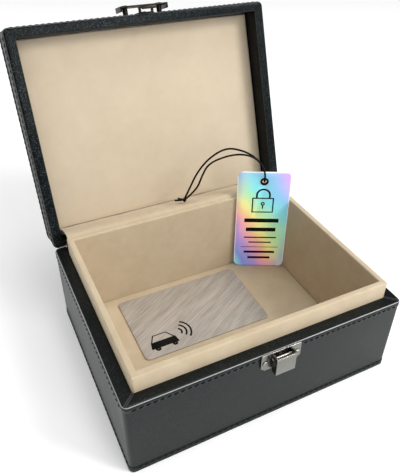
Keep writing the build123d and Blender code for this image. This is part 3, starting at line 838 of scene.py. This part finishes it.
def gridded_pad(name, low, high, roll):
    """A closed pad between two corners, with a fine grid over its faces and soft upper edges."""
    size = high - low
    piece = new_piece(
        bpy.ops.mesh.primitive_grid_add, name, scale=(size.x, size.y, 1), size=1,
        x_subdivisions=round(size.x / PAD_CELL), y_subdivisions=round(size.y / PAD_CELL),
        location=((low.x + high.x) / 2, (low.y + high.y) / 2, high.z),
    )
    edit_all(piece)
    bpy.ops.mesh.extrude_region_move(TRANSFORM_OT_translate={"value": (0, 0, -size.z)})
    bpy.ops.mesh.select_all(action="SELECT")
    bpy.ops.mesh.normals_make_consistent(inside=False)
    round_edges(lambda edge: rim_of_pad(edge, low, high), roll, 3)
    bpy.ops.object.mode_set(mode="OBJECT")
    return piece


def rim_of_pad(edge, low, high):
    """Whether an edge lies on the outline of a pad's upper face."""
    middle = middle_of(edge)
    inwards = min(middle.x - low.x, high.x - middle.x, middle.y - low.y, high.y - middle.y)
    return level_at(edge, high.z) and near(inwards, 0)


def floor_suede():
    """Thin suede pad on the tray's floor."""
    low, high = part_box("floor_pad")
    top = high - UP * FLOOR_CROWN
    piece = gridded_pad("floor_suede", low, top, FLOOR_ROLL)
    swell(piece, top.z - FLOOR_ROLL, FLOOR_CROWN)
    smooth(piece, radians(60))
    finish_piece(piece, "root", "suede", ["floor_pad"])


def lid_panel_suede():
    """Padded suede panel inside the lid, modelled face up with the lid shut upside down."""
    low, high = shut_box("lid_panel_cover")
    face_up_low = Vector((low.x, low.y, -high.z))
    face_up_high = Vector((high.x, high.y, -low.z - PANEL_GAP))
    piece = gridded_pad("lid_panel_suede", face_up_low, face_up_high, PANEL_ROLL)
    swell(piece, face_up_high.z - PANEL_ROLL, PANEL_CROWN)
    edit_all(piece)
    bpy.ops.transform.resize(value=(1, 1, -1), center_override=(0, 0, 0))
    bpy.ops.mesh.normals_make_consistent(inside=False)
    bpy.ops.object.mode_set(mode="OBJECT")
    move(piece, TO_OPEN)
    smooth(piece, radians(60))
    finish_piece(piece, "lid", "lid_suede_painted_light", ["lid_panel_cover"])


def strip_along(name, half_width, route, cells):
    """A thin strip of sheet, finely divided, that follows a route in the YZ plane."""
    start = Vector((0, *route[0]))
    piece = new_piece(bpy.ops.mesh.primitive_plane_add, name, size=1, location=start)
    edit_all(piece)
    pick("VERT", lambda v: v.co.y > start.y)
    bpy.ops.mesh.delete(type="VERT")
    bpy.ops.mesh.select_all(action="SELECT")
    bpy.ops.transform.resize(value=(2 * half_width, 0, 1), center_override=start)
    bpy.ops.mesh.subdivide(number_cuts=cells - 1)
    for here, there in zip(route, route[1:]):
        step = (0, there[0] - here[0], there[1] - here[1])
        bpy.ops.mesh.extrude_region_move(TRANSFORM_OT_translate={"value": step})
    bpy.ops.object.mode_set(mode="OBJECT")
    apply_modifier(piece, "SUBSURF", levels=2, render_levels=2, boundary_smooth="PRESERVE_CORNERS")
    return piece


def clothed_strip(piece, look, node):
    """Give a strip of sheet its thickness and finish."""
    apply_modifier(piece, "SOLIDIFY", thickness=STRIP_THICKNESS, offset=0)
    smooth(piece, radians(60))
    finish_look(piece, look, [node])


def hinge_gusset():
    """Suede strip that rolls over the tray's back wall and runs down to the lid's panel."""
    low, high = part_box("hinge_gusset")
    panel_low, panel_high = shut_box("lid_panel_cover")
    half_sheet = 0.4 * MM
    foot_y = low.y + half_sheet
    landing = TO_OPEN @ Vector((0, panel_high.y + 0.3 * MM, panel_low.z + 0.6 * MM))
    route = [
        (foot_y, low.z),
        (foot_y - 0.1 * MM, low.z + 1.6 * MM),
        (foot_y + 0.6 * MM, high.z - 0.9 * MM),
        (foot_y + 3.6 * MM, high.z - 1.0 * MM),
        (foot_y + 8.0 * MM, high.z - 2.3 * MM),
        (foot_y + 12.6 * MM, high.z - 4.1 * MM),
        (foot_y + 18.5 * MM, high.z - 7.6 * MM),
        (landing.y, landing.z),
    ]
    piece = strip_along("suede_gusset", high.x - STRIP_SIDE_GAP, route, GUSSET_CELLS)
    crinkle(piece)
    clothed_strip(piece, "suede", "hinge_gusset")
    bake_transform(piece)


def hinge_spine():
    """Leathercloth spine, glued down the back of the base and along the back of the lid."""
    low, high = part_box("hinge_spine")
    lid_up = LID_TURN @ UP
    below, beyond = HINGE - UP * SPINE_BEND, HINGE + lid_up * SPINE_BEND
    reach = HINGE.z - low.z
    places = [
        HINGE - UP * reach, HINGE - UP * 3 * SPINE_BEND, below,
        beyond, HINGE + lid_up * 3 * SPINE_BEND, HINGE + lid_up * reach,
    ]
    route = [(place.y, place.z) for place in places]
    piece = strip_along("leather_spine", high.x - STRIP_SIDE_GAP, route, SPINE_CELLS)
    clothed_strip(piece, "base_leather", "hinge_spine")
    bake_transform(piece)


def stitch_row(start, end, outward):
    """A row of stitches from one point to another on a face that looks outward."""
    run = end - start
    count = int(run.length // STITCH_PITCH)
    piece = new_piece(
        bpy.ops.mesh.primitive_uv_sphere_add, "stitches", (STITCH_LENGTH, STITCH_WIDTH * 0.8, STITCH_WIDTH),
        (0, 0, STITCH_SLANT), segments=8, ring_count=6, radius=0.5,
    )
    apply_modifier(
        piece, "ARRAY", count=count, use_relative_offset=False, use_constant_offset=True,
        constant_offset_displace=(STITCH_PITCH, 0, 0),
    )
    lengthwise = run.normalized()
    spare = run.length - (count - 1) * STITCH_PITCH
    turn = Matrix((lengthwise, outward.cross(lengthwise), outward)).transposed().to_4x4()
    move(piece, Matrix.Translation(start + lengthwise * spare / 2) @ turn)
    return piece


def join_pieces(pieces, name):
    """Join several pieces into one."""
    bpy.ops.object.select_all(action="DESELECT")
    for piece in pieces:
        piece.select_set(True)
    bpy.context.view_layer.objects.active = pieces[0]
    bpy.ops.object.join()
    pieces[0].name = name
    bpy.ops.object.select_all(action="DESELECT")
    return pieces[0]


def wall_stitching(name, low, high, heights):
    """Rows of stitches round a block's walls at several heights, each leaving some walls out."""
    rows = []
    reach_x, reach_y = high.x - CORNER_RADIUS, high.y - CORNER_RADIUS
    walls = {
        "front": ((-reach_x, low.y), (reach_x, low.y), -BACK),
        "right": ((high.x, -reach_y), (high.x, reach_y), RIGHT),
        "back": ((reach_x, high.y), (-reach_x, high.y), BACK),
        "left": ((low.x, reach_y), (low.x, -reach_y), -RIGHT),
    }
    for wall, (start, end, outward) in walls.items():
        for height, skipped in heights:
            if wall not in skipped:
                rows.append(stitch_row(Vector((*start, height)), Vector((*end, height)), outward))
    return join_pieces(rows, name)


def finish_stitching(piece, body):
    """Dress a piece of stitching as thread."""
    smooth(piece, radians(80))
    finish_piece(piece, body, "thread")


def base_stitching():
    """Stitching below the rim and above the foot of the base."""
    low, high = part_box("base_wrap")
    below_rim, above_foot = high.z - STITCH_INSET, low.z + STITCH_INSET
    piece = wall_stitching("base_stitching", low, high, [(below_rim, ("back",)), (above_foot, ())])
    finish_stitching(piece, "root")


def lid_stitching():
    """Stitching beside the rim and the top edge of the lid."""
    low, high = shut_box("lid_wrap")
    beside_rim, beside_top = low.z + STITCH_INSET, high.z - LID_EDGE_ROLL - STITCH_INSET
    piece = wall_stitching("lid_stitching", low, high, [(beside_rim, ("back",)), (beside_top, ())])
    move(piece, TO_OPEN)
    finish_stitching(piece, "lid")


# ---------------------------------------------------------------- tag, cord and card


def tag_point(across, up, forward=0.0):
    """A point on the tag: across and up from its lower left corner, and forward of its middle."""
    facing_out = TAG_ACROSS.cross(UP)
    upwards = UP * cos(TAG_LEAN) - facing_out * sin(TAG_LEAN)
    outward = facing_out * cos(TAG_LEAN) + UP * sin(TAG_LEAN)
    return TAG_PIVOT + TAG_ACROSS * across + upwards * (up - TAG_PIVOT_RISE) + outward * forward


def tag_matrix():
    """Places what is drawn flat, across along X and up along Y, onto the tag."""
    origin = tag_point(0, 0)
    across = tag_point(1, 0) - origin
    up = tag_point(0, 1) - origin
    turn = Matrix((across, up, across.cross(up))).transposed().to_4x4()
    return Matrix.Translation(origin) @ turn


def round_line(name, thickness, resolution):
    """An empty curve that is drawn as a capped round line."""
    curve = bpy.data.curves.new(name, "CURVE")
    curve.dimensions = "3D"
    curve.bevel_depth = thickness / 2
    curve.bevel_resolution = resolution
    curve.use_fill_caps = True
    return curve


def add_run(curve, kind, places):
    """A run of a curve through or along its points."""
    spline = curve.splines.new(kind)
    spline.points.add(len(places) - 1)
    for point, place in zip(spline.points, places):
        point.co = (*place, 1)
    if kind == "NURBS":
        spline.order_u = 3
    return spline


def meshed(name, curve):
    """A mesh piece of a curve, with its seams welded, its ends closed and its faces turned outward."""
    activate(new_object(name, curve))
    bpy.ops.object.convert(target="MESH")
    piece = bpy.context.object
    edit_all(piece)
    bpy.ops.mesh.remove_doubles(threshold=WELD)
    bpy.ops.mesh.fill_holes(sides=0)
    bpy.ops.mesh.select_all(action="SELECT")
    bpy.ops.mesh.normals_make_consistent(inside=False)
    bpy.ops.object.mode_set(mode="OBJECT")
    return piece


def ink_stroke(route, width, cyclic=False):
    """A printed line of even width along points of the XY plane, raised by the ink's thickness."""
    curve = round_line("stroke", width, 1)
    add_run(curve, "POLY", [(*place, 0) for place in route]).use_cyclic_u = cyclic
    piece = meshed("stroke", curve)
    move(piece, Matrix.Diagonal((1, 1, 2 * INK_THICKNESS / width, 1)))
    return piece


def ink_bar(middle, width, height):
    """A printed bar with rounded ends."""
    reach = (width - height) / 2
    x, y = middle
    return ink_stroke([(x - reach, y), (x + reach, y)], height)


def arc(centre, radius, start, end, count=10):
    """Points of a circular arc, its angles in degrees."""
    angles = [radians(start + (end - start) * step / count) for step in range(count + 1)]
    return [(centre[0] + radius * cos(a), centre[1] + radius * sin(a)) for a in angles]


def rounded_blank(name, low, high, corner):
    """A flat blank with rounded corners, left in edit mode."""
    piece = block(name, low, high)
    edit_all(piece)
    round_edges(upright(), corner, 8)
    return piece


def press_flat(piece):
    """Give a piece of the tag a mesh of its own."""
    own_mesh(piece)


def tag_print():
    """Generic print of the tag: an outlined padlock over plain bars."""
    middle, lock_y = TAG_WIDTH / 2, TAG_HEIGHT - 25.5 * MM
    line, keyhole_line = 1.3 * MM, 0.9 * MM
    half_body, half_height, bow_radius, bow_rise = 7.0 * MM, 5.5 * MM, 4.4 * MM, 2.6 * MM
    keyhole_radius, keyhole_rise, slot_top, slot_foot = 1.0 * MM, 1.2 * MM, 0.4 * MM, -2.8 * MM
    left, right = middle - half_body, middle + half_body
    foot, top = lock_y - half_height, lock_y + half_height
    bend = arc((middle, top + bow_rise), bow_radius, 0, 180)
    bow = [(middle + bow_radius, top), *bend, (middle - bow_radius, top)]
    parts = [
        ink_stroke([(left, foot), (right, foot), (right, top), (left, top)], line, cyclic=True),
        ink_stroke(bow, line),
        ink_stroke(arc((middle, lock_y + keyhole_rise), keyhole_radius, 0, 360, 12), keyhole_line),
        ink_stroke([(middle, lock_y + slot_top), (middle, lock_y + slot_foot)], keyhole_line),
    ]
    # Drop from the tag's top, width and height of each bar, in millimetres
    bars = [(38.0, 27.0, 3.2), (45.6, 24.0, 3.2), (52.4, 24.0, 1.1), (56.6, 17.0, 1.1), (60.8, 27.0, 0.5),
            (65.2, 24.0, 1.9), (70.2, 18.0, 1.9)]
    for down, width, height in bars:
        parts.append(ink_bar((middle, TAG_HEIGHT - down * MM), width * MM, height * MM))
    piece = join_pieces(parts, "tag_print")
    move(piece, tag_matrix() @ Matrix.Translation((0, 0, TAG_THICKNESS / 2)))
    finish_piece(piece, "tag", "ink")
    press_flat(piece)


def swing_tag():
    """The tag: a rounded card with a punched hole and one corner curled forward."""
    half = TAG_THICKNESS / 2
    low, high = Vector((0, 0, -half)), Vector((TAG_WIDTH, TAG_HEIGHT, half))
    piece = rounded_blank("swing_tag", low, high, TAG_CORNER)
    slant = Vector((1, -1, 0)).normalized()
    corner = Vector((TAG_WIDTH, 0, 0))
    for step in range(CURL_STEPS):
        bpy.ops.mesh.select_all(action="SELECT")
        line = corner - slant * (CURL_REACH * (1 - step / CURL_STEPS))
        bpy.ops.mesh.bisect(plane_co=line, plane_no=slant)
    bpy.ops.object.mode_set(mode="OBJECT")
    punch = new_piece(
        bpy.ops.mesh.primitive_cylinder_add, "punch", vertices=32, radius=EYELET_HOLE,
        depth=4 * TAG_THICKNESS, location=(TAG_WIDTH / 2, TAG_HEIGHT - EYELET_DROP, 0),
    )
    subtract(piece, punch)
    ease_edges(piece, TAG_EDGE)
    for vertex in piece.data.vertices:
        past = (vertex.co - corner).dot(slant) + CURL_REACH
        if past > 0:
            lift, draw_in = past ** 2 / (2 * CURL_RADIUS), past ** 3 / (6 * CURL_RADIUS ** 2)
            vertex.co += UP * lift - slant * draw_in
    move(piece, tag_matrix())
    smooth(piece, radians(30))
    finish_piece(piece, "tag", "film", ["hang_tag"])
    press_flat(piece)


def car_print(left, foot):
    """Strokes of a generic print, a car and radio waves, in millimetres from its lower left corner."""

    def at(x, y):
        return left + x * MM, foot + y * MM

    roof = [(2.2, 7.0), (4.8, 12.4), (13.4, 12.4), (17.0, 7.0)]
    strokes = [ink_stroke([at(x, y) for x, y in roof], 0.8 * MM)]
    rows, row_height, middle, body_width = 6, 1.15 * MM, 9.8, 19.6
    for row in range(rows):
        share = row / (rows - 1)
        width = (body_width - 2 * (0.2 + 0.8 * share)) * MM
        strokes.append(ink_bar(at(middle, 2.4 + 4.2 * share), width, row_height))
    for wheel in (4.6, 15.8):
        strokes.append(ink_stroke(arc(at(wheel, 1.4), 1.0 * MM, 0, 360, 14), 1.6 * MM))
    for radius in (3.2, 6.2, 9.2):
        strokes.append(ink_stroke(arc(at(20.0, 9.0), radius * MM, -44, 58), 1.2 * MM))
    return strokes


def floor_card():
    """The printed card on the tray's floor."""
    low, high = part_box("inlay_card")
    piece = rounded_blank("floor_card", low, high, CARD_CORNER)
    bpy.ops.object.mode_set(mode="OBJECT")
    ease_edges(piece, CARD_EDGE)
    smooth(piece, radians(30))
    finish_piece(piece, "root", "card", ["inlay_card"])
    parts = car_print(low.x + 5.4 * MM, low.y + 4.4 * MM)
    ink = join_pieces(parts, "card_print")
    move(ink, Matrix.Translation((0, 0, high.z)))
    finish_piece(ink, "root", "ink")


def hang_cord():
    """The tag's cord: one smooth run from the knot to the tag and back."""
    curve = round_line("hang_cord_line", CORD_DIAMETER, 4)
    spline = add_run(curve, "NURBS", CORD_ROUTE)
    spline.use_endpoint_u = True
    spline.resolution_u = 8
    piece = new_object("swing_cord", curve)
    curve.materials.append(MATERIALS["cord"])
    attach(piece, "tag")
    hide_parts("hang_cord")
    return piece


def cord_knot():
    """Overhand knot with two short tails."""
    lobes, turn_radius, rise = 16, 0.95 * MM, 0.45 * MM
    loops = [
        (
            (sin(t) + 2 * sin(2 * t)) * turn_radius / 2.2,
            (cos(t) - 2 * cos(2 * t)) * turn_radius / 2.2,
            -sin(3 * t) * rise,
        )
        for t in [tau * step / lobes for step in range(lobes)]
    ]
    curve = round_line("knot_line", CORD_DIAMETER, 3)
    add_run(curve, "NURBS", [KNOT_CENTRE + Vector(place) for place in loops]).use_cyclic_u = True
    for tail in KNOT_TAILS:
        sag = Vector((0, 0, -0.3 * MM))
        places = [KNOT_CENTRE + tail * 0.1, KNOT_CENTRE + tail * 0.6 + sag, KNOT_CENTRE + tail]
        add_run(curve, "NURBS", places).use_endpoint_u = True
    piece = meshed("overhand_knot", curve)
    smooth(piece, radians(60))
    finish_piece(piece, "tag", "cord", ["cord_knot"])
    return piece


# ---------------------------------------------------------------- CAD nodes and metal


def dress_nodes():
    """Give every CAD node the material of its slot."""
    looks = {"leathercloth": "base_leather", "card_print": "card", "tag_print": "film"}
    # The catch's rivets and the tag's eyelet take the nickel darkened as painted shade.
    metal_in_painted_shade = ("catch_rivets", "tag_eyelet")
    slots = {part["node"]: part["material_slot"] for part in frame["record"]["subparts"]}
    for name, node in frame["nodes"].items():
        look = "nickel_in_painted_shade" if name in metal_in_painted_shade else looks.get(slots[name], slots[name])
        node.data.materials.clear()
        node.data.materials.append(MATERIALS[look])


def eased_metal():
    """Latch and catch pieces with eased edges, in place of the sharp ones."""
    eased = {
        "latch_plate": ("root", "nickel", 0.16), "latch_button": ("latch_button", "nickel", 0.42),
        # The catch's plate and tongue take the nickel darkened as painted shade.
        "catch_plate": ("lid", "nickel_in_painted_shade", 0.14), "catch_tongue": ("lid", "nickel_in_painted_shade", 0.1),
    }
    for node, (body, look, width) in eased.items():
        piece = rounded_copy(node, width * MM)
        finish_piece(piece, body, look, [node])


def coil_spring():
    """The latch's coil spring, a copy of the CAD spring with its wire's edges eased."""
    wire_ease, spare_room = 0.01 * MM, 0.1 * MM
    piece = rounded_copy("latch_spring", wire_ease, segments=1)
    finish_piece(piece, "root", "steel", ["latch_spring"])
    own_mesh(piece)


# ---------------------------------------------------------------- camera and stage


def set_camera():
    """Camera at its place, turned and shifted to frame the open box."""
    data = bpy.data.cameras.new("camera")
    data.sensor_width = SENSOR
    data.lens = FOCAL_PIXELS * SENSOR / IMAGE_HEIGHT
    data.shift_x = (IMAGE_WIDTH / 2 - OPTICAL_CENTRE[0]) / IMAGE_HEIGHT
    data.shift_y = (OPTICAL_CENTRE[1] - IMAGE_HEIGHT / 2) / IMAGE_HEIGHT
    data.clip_start = 0.01
    camera = new_object("camera", data)
    turn = (
        Matrix.Rotation(-CAMERA_AZIMUTH, 4, "Z")
        @ Matrix.Rotation(pi / 2 - CAMERA_ELEVATION, 4, "X")
        @ Matrix.Rotation(CAMERA_ROLL, 4, "Z")
    )
    camera.matrix_world = Matrix.Translation(CAMERA_PLACE) @ turn
    bpy.context.scene.camera = camera


def set_colours():
    """Plain colour rendering, with no film look."""
    settings = bpy.context.scene.view_settings
    settings.view_transform = "Standard"
    settings.look = "None"


def set_floor():
    """Pale paper under the box, lit a little by itself."""
    floor = new_piece(bpy.ops.mesh.primitive_plane_add, "floor", size=60)
    paper = Finish("floor_paper", (0.9, 0.9, 0.9), Roughness=0.9, Emission_Strength=0.22)
    paper.shader.inputs["Emission Color"].default_value = (1, 1, 1, 1)
    floor.data.materials.append(paper.material)


def set_surroundings():
    """Soft grey surroundings: bright overhead and from the horizon down, and dim between them."""
    world = bpy.data.worlds.new("studio")
    bpy.context.scene.world = world
    world.use_nodes = True
    nodes, links = world.node_tree.nodes, world.node_tree.links
    direction = nodes.new("ShaderNodeTexCoord")
    height = nodes.new("ShaderNodeSeparateXYZ")
    ramp = nodes.new("ShaderNodeValToRGB")
    levels = [(0.1, 0.85), (0.36, 0.1), (0.62, 0.1), (0.95, 1.0)]
    set_stops(ramp.color_ramp, [(place, (level, level, level)) for place, level in levels])
    links.new(direction.outputs["Generated"], height.inputs[0])
    links.new(height.outputs["Z"], ramp.inputs[0])
    links.new(ramp.outputs[0], nodes["Background"].inputs["Color"])
    nodes["Background"].inputs["Strength"].default_value = 0.9


def set_lamps():
    """Five soft lamps, all turned to the box: place, size and power."""
    lamps = {
        "key": ((0.78, -0.74, 1.0), 0.5, 13.8),
        "front": ((0.3, -1.3, 0.75), 0.6, 5),
        "top": ((0.1, 0.1, 1.4), 0.5, 4),
        "left": ((-1.0, -0.2, 0.45), 0.4, 0.15),
        "edge": ((-0.7, 0.85, 0.5), 0.3, 2.5),
    }
    target = Vector((0, 0, 0.05))
    for name, (place, size, power) in lamps.items():
        data = bpy.data.lights.new(name, "AREA")
        data.size, data.energy = size, power
        lamp = new_object(name, data)
        lamp.location = place
        lamp.rotation_euler = (target - Vector(place)).to_track_quat("-Z", "Y").to_euler()


set_camera()
set_colours()
set_floor()
set_surroundings()
set_lamps()
dress_nodes()
base_leather()
lid_leather()
tray_suede()
floor_suede()
lid_panel_suede()
hinge_gusset()
hinge_spine()
base_stitching()
lid_stitching()
eased_metal()
coil_spring()
swing_tag()
tag_print()
floor_card()
cord = hang_cord()
knot = cord_knot()
